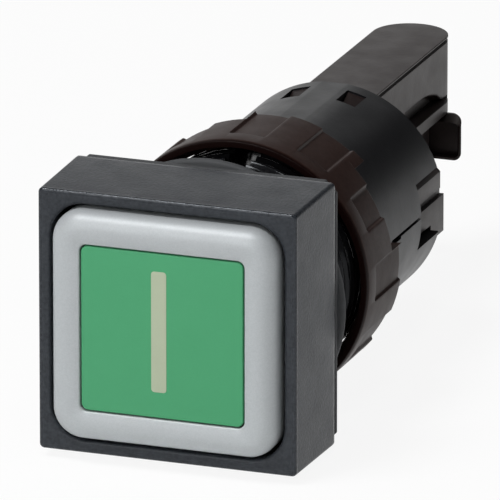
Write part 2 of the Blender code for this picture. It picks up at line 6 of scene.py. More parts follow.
import bmesh
import bpy
import numpy as np
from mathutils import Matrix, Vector

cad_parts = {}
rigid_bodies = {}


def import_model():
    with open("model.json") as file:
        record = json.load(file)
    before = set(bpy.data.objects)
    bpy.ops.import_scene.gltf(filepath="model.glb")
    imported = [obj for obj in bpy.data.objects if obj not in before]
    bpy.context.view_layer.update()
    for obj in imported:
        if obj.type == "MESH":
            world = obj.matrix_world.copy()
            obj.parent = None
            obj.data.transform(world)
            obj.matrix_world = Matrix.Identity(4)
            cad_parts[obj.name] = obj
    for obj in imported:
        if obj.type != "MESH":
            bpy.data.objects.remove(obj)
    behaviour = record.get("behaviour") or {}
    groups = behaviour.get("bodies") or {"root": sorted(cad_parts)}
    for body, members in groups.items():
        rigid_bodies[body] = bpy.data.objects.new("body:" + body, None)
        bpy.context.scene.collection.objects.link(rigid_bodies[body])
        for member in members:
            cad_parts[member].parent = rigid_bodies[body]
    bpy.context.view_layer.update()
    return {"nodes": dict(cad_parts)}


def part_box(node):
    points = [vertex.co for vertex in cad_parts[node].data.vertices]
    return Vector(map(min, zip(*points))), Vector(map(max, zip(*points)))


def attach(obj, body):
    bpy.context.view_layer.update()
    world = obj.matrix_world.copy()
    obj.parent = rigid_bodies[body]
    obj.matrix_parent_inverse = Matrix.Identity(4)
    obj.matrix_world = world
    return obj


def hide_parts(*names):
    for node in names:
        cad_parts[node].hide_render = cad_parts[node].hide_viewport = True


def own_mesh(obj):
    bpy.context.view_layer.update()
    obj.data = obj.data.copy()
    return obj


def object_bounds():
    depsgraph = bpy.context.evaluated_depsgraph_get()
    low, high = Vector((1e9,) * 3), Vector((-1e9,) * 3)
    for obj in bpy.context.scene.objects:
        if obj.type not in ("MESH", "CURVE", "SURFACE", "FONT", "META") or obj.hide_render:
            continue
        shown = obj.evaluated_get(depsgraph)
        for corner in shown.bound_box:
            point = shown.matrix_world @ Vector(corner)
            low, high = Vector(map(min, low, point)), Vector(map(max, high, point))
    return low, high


for item in list(bpy.data.objects):
    bpy.data.objects.remove(item, do_unlink=True)
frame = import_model()

# Threaded barrel: one dark slate moulding that passes the panel. It has a thread for the nut, a key
# groove along its top, two windows that hold the carrier's lugs, and on each side an open slot with a
# fine slit before it. A web inside guides the plunger.
MM = 0.001
QUARTER = math.pi / 2
BARREL_LOW, BARREL_HIGH = (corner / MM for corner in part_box("threaded_barrel"))
CREST = BARREL_HIGH.x
THREAD_DEPTH = 0.45
THREAD_PITCH = 1.0
THREAD_START = -1.0
THREAD_END = 11.0
THREAD_ROWS = 12
THREAD_FADE = 0.8
THREAD_FLAT = 1.1
THREAD_POLISH = 0.8
NECK = 7.2
SKIN = 7.75
FRONT_BORE = 6.5
REAR_BORE = 6.4
WEB = (8.5, 10.0)
WEB_BORE = 2.85
KEY_HALF = 0.9
KEY_FLOOR = 7.0
WINDOW_X = (1.325, 2.675)
WINDOW_Y = (20.8, 23.2)
SLOT_Z = (-2.1, 2.5)
SLOT_FRONT = 20.0
SLIT_Z = (0.19, 0.36)
SLIT_FRONT = 14.0
SLIT_DEPTH = 0.4
NOTCH_Z = 0.02
NOTCH_REAR = 15.8
RIM_EASE = 0.12
STEP = 0.03
COLUMNS = 144
SHARP_ANGLE = 35
NOISE_MIDDLE = (0.3, 0.7)
CLOUD_SIZE = 4.0
CLOUD_SHARE = 0.4
GRAIN_DETAIL = 4.0
GLOSS_SIZE = 1.6
GLOSS_SWING = 0.16
POLISH_DROP = 0.75


class Wire:
    """A node's output that can be used as a number: each operator adds one Math node to the same tree."""

    def __init__(self, tree, socket):
        self.tree = tree
        self.socket = socket

    def node(self, kind, settings, sockets, output=0):
        """Any node: its settings first (a ramp's stops as places and greys), then values or links."""
        made = self.tree.nodes.new(kind)
        for key, value in settings.items():
            if key == "stops":
                for stop, (place, grey) in zip(made.color_ramp.elements, value):
                    stop.position = place
                    stop.color = (grey, grey, grey, 1.0)
            else:
                setattr(made, key, value)
        for key, value in sockets.items():
            self.feed(made.inputs[key], value)
        return Wire(self.tree, made.outputs[output])

    def feed(self, socket, value):
        """Link a wire to a socket, or set a plain value on it."""
        if isinstance(value, Wire):
            self.tree.links.new(value.socket, socket)
        else:
            socket.default_value = value

    def maths(self, operation, first, second):
        """One Math node with two inputs."""
        return self.node("ShaderNodeMath", {"operation": operation}, {0: first, 1: second})

    def __add__(self, other):
        return self.maths("ADD", self, other)

    def __sub__(self, other):
        return self.maths("SUBTRACT", self, other)

    def __rsub__(self, other):
        return self.maths("SUBTRACT", other, self)

    def __mul__(self, other):
        return self.maths("MULTIPLY", self, other)

    __radd__ = __add__
    __rmul__ = __mul__


def noise(place, size, detail=2.0):
    """Noise from 0 to 1 whose patches are about `size` millimetres wide."""
    sockets = {"Vector": place, "Scale": 1 / (size * MM), "Detail": detail}
    return place.node("ShaderNodeTexNoise", {}, sockets)


def stretched(value):
    """The middle range of a noise, where most of it lies, drawn out to run from 0 to 1."""
    low, high = NOISE_MIDDLE
    return value.node("ShaderNodeMapRange", {}, {"Value": value, "From Min": low, "From Max": high})


def rise(value, low, high):
    """Smooth rise from 0 to 1 while a value goes from `low` to `high` millimetres."""
    sockets = {"Value": value, "From Min": low * MM, "From Max": high * MM}
    return value.node("ShaderNodeMapRange", {"interpolation_type": "SMOOTHSTEP"}, sockets)


def coordinate(place, axis):
    """One coordinate of a place, along X, Y or Z."""
    return place.node("ShaderNodeSeparateXYZ", {}, {"Vector": place}, output=axis)


def tint(factor, low, high):
    """Colour between two colours, by a number from 0 to 1. The first may be a wire."""
    first = low if isinstance(low, Wire) else (*low, 1.0)
    sockets = {0: factor, 6: first, 7: (*high, 1.0)}
    return factor.node("ShaderNodeMix", {"data_type": "RGBA"}, sockets, output=2)


def relief(height, depth):
    """Surface direction from a height map whose full range is `depth` millimetres deep."""
    return height.node("ShaderNodeBump", {}, {"Height": height, "Strength": 1.0, "Distance": depth * MM})


def start_finish(name):
    """New material, its Principled shader and a wire with the piece's own coordinates."""
    material = bpy.data.materials.new(name)
    material.use_nodes = True
    tree = material.node_tree
    place = tree.nodes.new("ShaderNodeTexCoord").outputs["Object"]
    return material, tree.nodes["Principled BSDF"].inputs, Wire(tree, place)


def no_polish(place):
    """Polish of a piece that has the same gloss everywhere."""
    return 0.0


def moulded_plastic(name, dark, light, roughness, grain, grain_depth, shine, gloss, polish=no_polish):
    """Moulded plastic: colour that drifts over millimetres, a fine spark-eroded grain and uneven gloss.

    `polish` gives how far a place is polished, from 0 to 1: there the roughness falls to a quarter.
    """
    material, shader, place = start_finish(name)
    cloud = noise(place, CLOUD_SIZE)
    speck = stretched(noise(place, grain, detail=GRAIN_DETAIL))
    mottle = CLOUD_SHARE * cloud + (1 - CLOUD_SHARE) * speck
    place.feed(shader["Base Color"], tint(mottle, dark, light))
    rough = roughness - GLOSS_SWING / 2 + GLOSS_SWING * noise(place, GLOSS_SIZE)
    place.feed(shader["Roughness"], rough * (1 - POLISH_DROP * polish(place)))
    place.feed(shader["Normal"], relief(speck, grain_depth))
    shader["Specular IOR Level"].default_value = shine
    shader["Specular Tint"].default_value = (*gloss, 1.0)
    return material


def add_piece(name, mesh, finish, body, nodes):
    """Object of a mesh, with its finish, the body that it rides on and the nodes that it replaces."""
    mesh.materials.clear()
    mesh.materials.append(finish)
    piece = bpy.data.objects.new(name, mesh)
    bpy.context.scene.collection.objects.link(piece)
    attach(piece, body)
    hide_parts(*nodes)
    return piece


def make_piece(name, shape, finish, body, nodes):
    """Object from points in millimetres and faces: turned outwards, smooth but for its sharp edges."""
    points, faces = shape
    mesh = bpy.data.meshes.new(name)
    mesh.from_pydata(np.asarray(points) * MM, [], faces)
    builder = bmesh.new()
    builder.from_mesh(mesh)
    bmesh.ops.recalc_face_normals(builder, faces=builder.faces)
    builder.to_mesh(mesh)
    builder.free()
    mesh.shade_smooth()
    mesh.set_sharp_from_angle(angle=math.radians(SHARP_ANGLE))
    return add_piece(name, mesh, finish, body, nodes)


def round_grid(radius, angle, depth):
    """Points at a radius and an angle round the Y axis: x = r cos a, z = r sin a, y = depth."""
    return np.stack((radius * np.cos(angle), depth, radius * np.sin(angle)), axis=-1)


def pierced_shell(outer, inner, keep):
    """Closed shell between two grids that share their cells, which close round along the columns.

    A kept cell gives a face on each grid, and a border between a kept and a missing cell gives a wall.
    """
    rows, columns = keep.shape
    count = (rows + 1) * columns
    here = np.arange(count).reshape(rows + 1, columns)
    beside = np.roll(here, -1, axis=1)
    cells = np.stack((here[:-1], beside[:-1], beside[1:], here[1:]), axis=-1)[keep]
    ends = np.pad(keep, ((1, 1), (0, 0)))
    across = ends[1:] != ends[:-1]
    along = keep != np.roll(keep, 1, axis=1)
    starts = np.concatenate((here[across], here[:-1][along]))
    stops = np.concatenate((beside[across], here[1:][along]))
    walls = np.stack((starts, stops, stops + count, starts + count), axis=-1)
    faces = np.concatenate((cells, cells[:, ::-1] + count, walls))
    used, faces = np.unique(faces, return_inverse=True)
    points = np.concatenate((outer.reshape(-1, 3), inner.reshape(-1, 3)))[used]
    return points, faces.reshape(-1, 4).tolist()


def steps_at(places):
    """Two lines close together at each place, so that a surface can step there."""
    return [place + side * STEP / 2 for place in places for side in (-1, 1)]


def within(values, limits):
    """Whether each value lies between two limits."""
    return (values > limits[0]) & (values < limits[1])


def angles_of(limits, radius, function):
    """Angles where a circle meets two limits, by arccos for limits along X and by arcsin along Z."""
    return np.sort(function(np.array(limits) / radius))


window_right = angles_of(WINDOW_X, SKIN, np.arccos)
slot_right = angles_of(SLOT_Z, SKIN, np.arcsin)
slit_right = angles_of(SLIT_Z, SKIN, np.arcsin)
notch_right = angles_of((NOTCH_Z, SLIT_Z[1]), SKIN, np.arcsin)
window_inner = angles_of(WINDOW_X, REAR_BORE, np.arccos)
slot_inner = angles_of(SLOT_Z, REAR_BORE, np.arcsin)
key_edges = QUARTER + math.asin(KEY_HALF / SKIN) * np.array([-1, 1])


def thread_radius(angle, depth):
    """Thread: a cosine ridge that winds back one pitch a turn, cut flat at its crest and at its root.

    It fades into the root at both ends.
    """
    turn = depth / THREAD_PITCH - angle / (2 * math.pi)
    ridge = 0.5 + 0.5 * np.clip(THREAD_FLAT * np.cos(2 * math.pi * turn), -1, 1)
    fade_in = np.clip((depth - THREAD_START) / THREAD_FADE, 0, 1)
    fade_out = np.clip((THREAD_END - depth) / THREAD_FADE, 0, 1)
    return CREST - THREAD_DEPTH + THREAD_DEPTH * ridge * (fade_out * fade_in)


def barrel_skin(angle, depth):
    """Outer radius: neck, thread and plain body in turn, less the key groove, the eased rim and the slits.

    The groove has a flat floor, r = floor / sin a, which is deep in the thread and shallow behind it.
    """
    radius = np.where(depth > THREAD_END, SKIN, thread_radius(angle, depth))
    radius = np.where(depth < THREAD_START, NECK, radius)
    in_key = within(angle, key_edges) & (depth > 0)
    key_floor = np.where(depth < THREAD_END, KEY_FLOOR, math.sqrt(SKIN**2 - KEY_HALF**2))
    floor_radius = key_floor / np.where(in_key, np.sin(angle), 1)
    radius = np.where(in_key, np.minimum(radius, floor_radius), radius)
    radius -= RIM_EASE * (depth > BARREL_HIGH.y - RIM_EASE / 2)
    for mirrored in (angle, math.pi - angle):
        in_slit = within(mirrored, slit_right) & within(depth, (SLIT_FRONT, BARREL_HIGH.y))
        in_notch = within(mirrored, notch_right) & within(depth, (SLIT_FRONT, NOTCH_REAR))
        radius -= SLIT_DEPTH * (in_slit | in_notch)
    return radius


def barrel_bore(depth):
    """Inner radius: the front bore, the web's narrow hole, and the rear bore behind it."""
    bore = np.where(depth < WEB[1], FRONT_BORE, REAR_BORE)
    return np.where(within(depth, WEB), WEB_BORE, bore)


def bore_angle(angle):
    """Angle on the bore for an angle on the skin, so that the two walls of each cut are parallel.

    It is measured from the top, alike to both sides, and runs evenly between the edges of the cuts.
    """
    outer_marks = np.concatenate(([-QUARTER], slot_right, window_right, [QUARTER]))
    inner_marks = np.concatenate(([-QUARTER], slot_inner, window_inner, [QUARTER]))
    from_top = np.mod(angle - QUARTER + math.pi, 2 * math.pi) - math.pi
    inner_half = QUARTER - np.interp(QUARTER - np.abs(from_top), outer_marks, inner_marks)
    return QUARTER + np.sign(from_top) * inner_half


def thread_polish(place):
    """The thread's tool is polished, the rest of the barrel has a grain."""
    return THREAD_POLISH * (1 - rise(coordinate(place, "Y"), THREAD_END - THREAD_FADE, THREAD_END))


slit_edges = np.concatenate((slit_right, notch_right[:1]))
step_edges = np.concatenate((slit_edges, math.pi - slit_edges, key_edges))
step_angle = STEP / SKIN
cut_edges = np.concatenate((window_right, math.pi - window_right, slot_right, math.pi - slot_right))
even_columns = np.linspace(-QUARTER, 3 * QUARTER, COLUMNS, endpoint=False)
barrel_columns = np.concatenate((even_columns, cut_edges, step_edges - step_angle, step_edges + step_angle))
thread_turns = int((THREAD_END - THREAD_START) / THREAD_PITCH)
thread_rows = np.linspace(THREAD_START, THREAD_END, thread_turns * THREAD_ROWS + 1)
end_rows = [BARREL_LOW.y, THREAD_START - STEP, THREAD_END + STEP, BARREL_HIGH.y]
body_rows = steps_at((SLIT_FRONT, NOTCH_REAR)) + [SLOT_FRONT, *WINDOW_Y, BARREL_HIGH.y - RIM_EASE]
barrel_rows = np.concatenate((end_rows, thread_rows, steps_at(WEB), body_rows))
barrel_angle, barrel_depth = np.meshgrid(np.unique(barrel_columns), np.unique(barrel_rows))
barrel_outside = round_grid(barrel_skin(barrel_angle, barrel_depth), barrel_angle, barrel_depth)
barrel_inside = round_grid(barrel_bore(barrel_depth), bore_angle(barrel_angle), barrel_depth)
cell_angle = (barrel_angle[:-1] + np.roll(barrel_angle[:-1], -1, axis=1)) / 2
cell_angle[:, -1] = barrel_angle[:-1, -1]
cell_depth = (barrel_depth[:-1] + barrel_depth[1:]) / 2
barrel_kept = np.ones(cell_angle.shape, bool)
for mirrored in (cell_angle, math.pi - cell_angle):
    barrel_kept &= ~(within(mirrored, window_right) & within(cell_depth, WINDOW_Y))
    barrel_kept &= ~(within(mirrored, slot_right) & (cell_depth > SLOT_FRONT))
barrel = pierced_shell(barrel_outside, barrel_inside, barrel_kept)
barrel_slate = moulded_plastic(
    "barrel_slate",
    dark=(0.006, 0.006, 0.007),
    light=(0.011, 0.011, 0.0125),
    roughness=0.34,
    grain=0.2,
    grain_depth=0.002,
    shine=0.18,
    gloss=(0.92, 0.96, 1.0),
    polish=thread_polish,
)
make_piece("barrel_moulding", barrel, barrel_slate, "housing", ["threaded_barrel"])

# Carrier root: brown-black block pushed into the barrel's rear until its two lugs snap into the windows.
# It keeps the solid's form with eased edges, and each lug fills its window and rises as a ramp to the
# rear. The tongue behind it follows apart.
ROOT_EASE = 0.1
ROOT_REAR = 25.2
LUG_FLOOR = 6.2
LUG_SINK = (0.9, 0.08)
LUG_GAP = 0.05
FLAT_ANGLE = 1.0
EASE_ANGLE = 40
EASE_SEGMENTS = 3
MERGE = 1e-6


def solid_copy(node, cut_at=None, cut_towards=None):
    """Copy of a node's solid: doubles merged, flat faces made whole, and cut off past a plane if given."""
    builder = bmesh.new()
    builder.from_mesh(frame["nodes"][node].data)
    bmesh.ops.remove_doubles(builder, verts=builder.verts, dist=MERGE)
    bmesh.ops.dissolve_limit(
        builder, angle_limit=math.radians(FLAT_ANGLE), verts=builder.verts, edges=builder.edges
    )
    if cut_at:
        whole = [*builder.verts, *builder.edges, *builder.faces]
        plane = {"plane_co": Vector(cut_at) * MM, "plane_no": cut_towards}
        cut = bmesh.ops.bisect_plane(builder, geom=whole, clear_outer=True, **plane)["geom_cut"]
        rim = [item for item in cut if isinstance(item, bmesh.types.BMEdge)]
        bmesh.ops.contextual_create(builder, geom=rim)
    mesh = bpy.data.meshes.new(node)
    builder.to_mesh(mesh)
    builder.free()
    return mesh


def points_of(mesh):
    """A mesh's points in millimetres, one to a row."""
    flat = np.empty(3 * len(mesh.vertices))
    mesh.vertices.foreach_get("co", flat)
    return flat.reshape(-1, 3) / MM


def set_points(mesh, points):
    """Put changed points in millimetres back into a mesh."""
    mesh.vertices.foreach_set("co", (points * MM).ravel())


def eased_piece(name, mesh, node, finish, body, width):
    """Piece from a copied solid, with its edges rounded by `width` millimetres."""
    mesh.shade_smooth()
    piece = add_piece(name, mesh, finish, body, [node])
    ease = piece.modifiers.new("ease", "BEVEL")
    ease.width = width * MM
    ease.segments = EASE_SEGMENTS
    ease.limit_method = "ANGLE"
    ease.angle_limit = math.radians(EASE_ANGLE)
    ease.harden_normals = True


carrier_brown = moulded_plastic(
    "carrier_brown",
    dark=(0.009, 0.005, 0.0047),
    light=(0.016, 0.010, 0.0095),
    roughness=0.45,
    grain=0.3,
    grain_depth=0.003,
    shine=0.36,
    gloss=(1.0, 0.94, 0.92),
)
root_mesh = solid_copy("contact_carrier", cut_at=(0, ROOT_REAR, 0), cut_towards=(0, 1, 0))
root_points = points_of(root_mesh)
root_reach = np.hypot(root_points[:, 0], root_points[:, 2])
on_lug = (root_reach > LUG_FLOOR) & within(root_points[:, 1], WINDOW_Y)
lug = root_points[on_lug]
lug_inner = np.abs(lug[:, 0]) < sum(WINDOW_X) / 2
lug_front = lug[:, 1] < sum(WINDOW_Y) / 2
lug_top = root_reach[on_lug] > (LUG_FLOOR + SKIN) / 2
lug_reach = SKIN - np.where(lug_front, *LUG_SINK)
lug[:, 0] = np.sign(lug[:, 0]) * np.where(lug_inner, WINDOW_X[0] + LUG_GAP, WINDOW_X[1] - LUG_GAP)
lug[:, 1] = np.where(lug_front, WINDOW_Y[0] + LUG_GAP, WINDOW_Y[1] - LUG_GAP)
lug[:, 2] = np.where(lug_top, np.sqrt(lug_reach**2 - lug[:, 0] ** 2), lug[:, 2])
root_points[on_lug] = lug
set_points(root_mesh, root_points)
eased_piece(
    "carrier_root", root_mesh, "contact_carrier", carrier_brown, "housing", ROOT_EASE
)

# Carrier tongue: the long round-ended bar that takes clip-on contacts, one moulding with the root. It has
# a thin cap with a shadow line under it, a bar along each side with a hollow above it, and a spine below.
TONGUE_FRONT = 24.8
TONGUE_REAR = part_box("contact_carrier")[1].y / MM
TONGUE_TOP = 6.8
TONGUE_HALF = 2.63
CAP_HALF = 2.66
CAP_HEIGHT = 0.12
LINE_HALF = 2.38
LINE_HEIGHT = 0.3
BAR_HALF = 3.13
BAR_Z = (1.7, 2.55)
BAR_SHORT = 1.0
SPINE_HALF = 2.2
SPINE_BOTTOM = -1.9
SPINE_SHORT = 3.0
SPINE_ROWS = 2
HOLLOW_FRONT = 31.1
HOLLOW_MIDDLE = 34.0
HOLLOW_REACH = 5.2
HOLLOW_HEIGHT = 2.0
HOLLOW_DEPTH = 0.6
HOLLOW_EDGE = 0.35
HOLLOW_ROWS = 14
TONGUE_EASE = 0.05
SIDE_POINTS = 90
ARC_POINTS = 40
EASE_POINTS = 6


def eased(radius):
    """Quarter round of `radius` in steps: how far each step is in from one face and from the other."""
    turn = np.linspace(0, QUARTER, EASE_POINTS)
    return radius * (1 - np.cos(turn)), radius * (1 - np.sin(turn))


def smooth_step(value):
    """0 below 0, 1 above 1 and 3t^2 - 2t^3 between."""
    share = np.clip(value, 0, 1)
    return share * share * (3 - 2 * share)


def round_ended(levels, halves, rears):
    """Rows of plan outlines: two straight sides and a half-round rear end.

    The end is x = w cos a, y = rear - w + w sin a, where w is the row's half width.
    """
    half, rear = (np.asarray(values, float)[:, None] for values in (halves, rears))
    along = np.linspace(0, 1, SIDE_POINTS)
    turn = np.linspace(0, math.pi, ARC_POINTS)[1:-1]
    side_y = TONGUE_FRONT + along * (rear - half - TONGUE_FRONT)
    x = np.concatenate((half + 0 * side_y, half * np.cos(turn), -half + 0 * side_y), axis=1)
    y = np.concatenate((side_y, rear - half + half * np.sin(turn), side_y[:, ::-1]), axis=1)
    return np.stack((x, y, np.asarray(levels, float)[:, None] + 0 * x), axis=-1)


def hollow_share(y, z):
    """How far a side is hollowed, from 0 to 1, with soft edges.

    The hollow's top runs level and then falls to the bar as a quarter of an ellipse.
    """
    share = np.clip((y - HOLLOW_MIDDLE) / HOLLOW_REACH, 0, 1)
    top = BAR_Z[0] + HOLLOW_HEIGHT * np.sqrt(1 - share**2)
    below_top = smooth_step((top - z) / HOLLOW_EDGE + 0.5)
    return below_top * smooth_step((y - HOLLOW_FRONT) / HOLLOW_EDGE)


def capped_tube(points):
    """Points and faces of a grid whose columns close round, with a cap on its first and on its last row."""
    rows, columns = points.shape[:2]
    here = np.arange(rows * columns).reshape(rows, columns)
    beside = np.roll(here, -1, axis=1)
    sides = np.stack((here[:-1], beside[:-1], beside[1:], here[1:]), axis=-1).reshape(-1, 4)
    return points.reshape(-1, 3), sides.tolist() + [here[0].tolist(), here[-1].tolist()]


# The outlines from the spine's bottom to the top: spine, bar, hollowed side, shadow line and cap.
ease_in, ease_drop = eased(TONGUE_EASE)
line_top = TONGUE_TOP - CAP_HEIGHT
line_bottom = line_top - LINE_HEIGHT
hollow_levels = np.linspace(BAR_Z[1], BAR_Z[0] + HOLLOW_HEIGHT + HOLLOW_EDGE, HOLLOW_ROWS)
tongue_levels = np.concatenate((
    [SPINE_BOTTOM, BAR_Z[0]],
    BAR_Z[0] + ease_drop[::-1],
    BAR_Z[1] - ease_drop,
    hollow_levels,
    [line_bottom, line_top, line_top],
    TONGUE_TOP - ease_drop,
))
tongue_halves = np.concatenate((
    np.full(SPINE_ROWS, SPINE_HALF),
    BAR_HALF - ease_in[::-1],
    BAR_HALF - ease_in,
    np.full(HOLLOW_ROWS, TONGUE_HALF),
    [TONGUE_HALF, LINE_HALF, CAP_HALF],
    CAP_HALF - ease_in,
))
bar_rear = TONGUE_REAR - BAR_SHORT
above_bar = np.arange(tongue_levels.size) >= SPINE_ROWS + 2 * EASE_POINTS
tongue_rears = tongue_halves + np.where(above_bar, TONGUE_REAR - CAP_HALF, bar_rear - BAR_HALF)
tongue_rears[:SPINE_ROWS] = TONGUE_REAR - SPINE_SHORT
tongue = round_ended(tongue_levels, tongue_halves, tongue_rears)
hollow = hollow_share(tongue[..., 1], tongue[..., 2]) * above_bar[:, None]
tongue[..., 0] -= np.sign(tongue[..., 0]) * HOLLOW_DEPTH * hollow
make_piece("carrier_tongue", capped_tube(tongue), carrier_brown, "housing", [])

# Carrier hooks: a thin-walled tray on each side of the spine, which catches the contacts' spring arm. It
# flares to its open front, where its thicker top slopes back. Both are moulded on the spine.
SIDES = (("left", -1), ("right", 1))
HOOK_X = (1.2, 4.28)
HOOK_Z = (-1.5, 1.7)
HOOK_Y = (38.3, 39.0)
HOOK_WALL = 0.17
HOOK_TOP = 0.5
HOOK_CORNER = 0.6
HOOK_SLOPE = 0.45
HOOK_FLARE = 0.25
CORNER_POINTS = 12


def square_rings(half_widths, half_heights, corners, depths):
    """Rows of rounded rectangles round the Y axis: each corner an arc, straight sides between them."""
    start = np.repeat(np.arange(4), CORNER_POINTS) * QUARTER
    sweep = start + np.tile(np.linspace(0, QUARTER, CORNER_POINTS), 4)
    side_x = np.sign(np.cos(start + QUARTER / 2))
    side_z = np.sign(np.sin(start + QUARTER / 2))
    rows = (half_widths, half_heights, corners, depths)
    wide, high, corner, y = (np.asarray(values, float)[:, None] for values in rows)
    x = side_x * (wide - corner) + corner * np.cos(sweep)
    z = side_z * (high - corner) + corner * np.sin(sweep)
    return np.stack((x, y + 0 * x, z), axis=-1)


# Four rings make a tray: the outside at the rear and at the front, the inside at the front and at the rear.
hook_inside = np.array([0, 0, 1, 1])
hook_rear = np.array([1, 0, 0, 1])
hook_half = (HOOK_X[1] - HOOK_X[0]) / 2 - (HOOK_WALL * hook_inside + HOOK_FLARE * hook_rear)
hook_high = (HOOK_Z[1] - HOOK_Z[0]) / 2 - hook_inside * (HOOK_WALL + HOOK_TOP) / 2
hook_corner = HOOK_CORNER - HOOK_WALL * hook_inside
hook_depth = (HOOK_Y[1], HOOK_Y[0], HOOK_Y[0], HOOK_Y[1] - HOOK_WALL)
hook_rings = square_rings(hook_half, hook_high, hook_corner, hook_depth)
hook_rings[2:, :, 2] -= (HOOK_TOP - HOOK_WALL) / 2
near_top = np.clip((hook_rings[1, :, 2] - hook_high[0]) / HOOK_CORNER + 1, 0, 1)
hook_rings[1, :, 1] += HOOK_SLOPE * near_top
for side, direction in SIDES:
    hook_place = np.array([direction * sum(HOOK_X) / 2, 0, sum(HOOK_Z) / 2])
    hook = capped_tube(hook_rings + hook_place)
    make_piece(f"carrier_hook_{side}", hook, carrier_brown, "housing", [])

# Return spring: drawn steel wire wound round the plunger's stem. Its rear end rests on a washer on the
# web, and the collar presses on its front end, so in the switch it shortens as the button goes in; here
# it is drawn at rest, on the housing.
SPRING_LOW, SPRING_HIGH = (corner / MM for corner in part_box("return_spring"))
WIRE_RADIUS = 0.3
SPRING_TURNS = 6
SPRING_POINTS = 40
WIRE_POINTS = 12
STEEL_DARK = (0.42, 0.42, 0.44)
STEEL_LIGHT = (0.62, 0.62, 0.64)
STEEL_ROUGHNESS = 0.22
STEEL_SWING = 0.2
STAIN_SIZE = 1.5
STAIN_DETAIL = 3.0
DRAWN_SIZE = 0.08
DRAWN_DEPTH = 0.003


def wound_wire(coil_radius, wire, front, rear, turns):
    """Tube along a helix: centre (R cos a, y, R sin a), section turned in the plane of radius and axis."""
    along = np.linspace(0, 1, turns * SPRING_POINTS)
    round_wire = np.arange(WIRE_POINTS) * 2 * math.pi / WIRE_POINTS
    along, round_wire = np.meshgrid(along, round_wire, indexing="ij")
    reach = coil_radius + wire * np.cos(round_wire)
    depth = front + wire + along * (rear - front - 2 * wire) + wire * np.sin(round_wire)
    return round_grid(reach, along * turns * 2 * math.pi, depth)


def drawn_steel(name):
    """Bright steel with a fine roughness from drawing and a little staining."""
    material, shader, place = start_finish(name)
    stain = noise(place, STAIN_SIZE, detail=STAIN_DETAIL)
    place.feed(shader["Base Color"], tint(stain, STEEL_DARK, STEEL_LIGHT))
    place.feed(shader["Roughness"], STEEL_ROUGHNESS + STEEL_SWING * stain)
    place.feed(shader["Normal"], relief(noise(place, DRAWN_SIZE), DRAWN_DEPTH))
    shader["Metallic"].default_value = 1.0
    return material


def refinish(finish, *nodes):
    """Give solids that keep their own form a finish."""
    for node in nodes:
        slots = frame["nodes"][node].data.materials
        slots.clear()
        slots.append(finish)


steel = drawn_steel("spring_steel")
coil_radius = (SPRING_HIGH.x - SPRING_LOW.x) / 2 - WIRE_RADIUS
winding = capped_tube(wound_wire(coil_radius, WIRE_RADIUS, SPRING_LOW.y, SPRING_HIGH.y, SPRING_TURNS))
spring = make_piece("spring_winding", winding, steel, "housing", ["return_spring"])
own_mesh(spring)
refinish(steel, "spring_seat")

# Plunger, crosshead and side rails: brown-black mouldings that move with the button. The stem carries a
# rubber ring in its collar and a steel clip behind the web, and the crosshead joins the two rails. A
# rail's upper edge is chamfered, and the groove along it runs out behind the barrel.
RAIL_EASE = 0.07
RAIL_SIDE = 6.5
RAIL_SHOULDER = 1.2
GROOVE_X = (6.2, 6.3)
GROOVE_Z = (-0.4, 0.1)
GROOVE_RISE = 0.2
RUBBER_DARK = (0.045, 0.047, 0.050)
RUBBER_LIGHT = (0.075, 0.078, 0.082)
RUBBER_ROUGHNESS = 0.62
RUBBER_SWING = 0.2
RUBBER_GRAIN = 0.22
RUBBER_GRAIN_DEPTH = 0.01
RUBBER_SHINE = 0.35
BLOOM_SIZE = 2.5
BLOOM_DETAIL = 3.0


def matt_rubber(name):
    """Moulded rubber: dull, slightly mottled, with a soft grain."""
    material, shader, place = start_finish(name)
    bloom = noise(place, BLOOM_SIZE, detail=BLOOM_DETAIL)
    place.feed(shader["Base Color"], tint(bloom, RUBBER_DARK, RUBBER_LIGHT))
    place.feed(shader["Roughness"], RUBBER_ROUGHNESS + RUBBER_SWING * bloom)
    place.feed(shader["Normal"], relief(noise(place, RUBBER_GRAIN), RUBBER_GRAIN_DEPTH))
    shader["Specular IOR Level"].default_value = RUBBER_SHINE
    return material


rubber = matt_rubber("grey_rubber")
refinish(carrier_brown, "plunger", "pusher_crosshead")
refinish(rubber, "plunger_ring")
refinish(steel, "retaining_clip")
for side, direction in SIDES:
    node = f"pusher_rail_{side}"
    shoulder = (direction * RAIL_SIDE, 0, RAIL_SHOULDER)
    rail_mesh = solid_copy(node, cut_at=shoulder, cut_towards=(direction, 0, 1))
    rail_points = points_of(rail_mesh)
    groove_end = within(np.abs(rail_points[:, 0]), GROOVE_X) & within(rail_points[:, 2], GROOVE_Z)
    groove_end &= rail_points[:, 1] > BARREL_HIGH.y
    rail_points[groove_end, 0] += np.sign(rail_points[groove_end, 0]) * GROOVE_RISE
    set_points(rail_mesh, rail_points)
    eased_piece(f"rail_moulding_{side}", rail_mesh, node, carrier_brown, "button", RAIL_EASE)

# Front bezel: square slate moulding with a deep aperture for the button. It snaps on the barrel's neck,
# where the lock ring holds it, and presses seal plate and gasket against the panel.
BEZEL_LOW, BEZEL_HIGH = (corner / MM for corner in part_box("front_bezel"))
BEZEL_DRAFT = 0.1
OUTER_CORNER = 0.32
FRONT_EASE = 0.18
REAR_EASE = 0.09
APERTURE_HALF = 8.15
APERTURE_CORNER = 2.4
APERTURE_EASE = 0.22
BEZEL_FLOOR = 1.4
BEZEL_FILLET = 0.35
BEZEL_HOLE = 7.3


def closed_ring(points):
    """Points and faces of a grid that closes both along its rows and along its columns."""
    rows, columns = points.shape[:2]
    here = np.arange(rows * columns).reshape(rows, columns)
    below = np.roll(here, -1, axis=0)
    faces = np.stack((here, np.roll(here, -1, 1), np.roll(below, -1, 1), below), axis=-1).reshape(-1, 4)
    return points.reshape(-1, 3), faces.tolist()


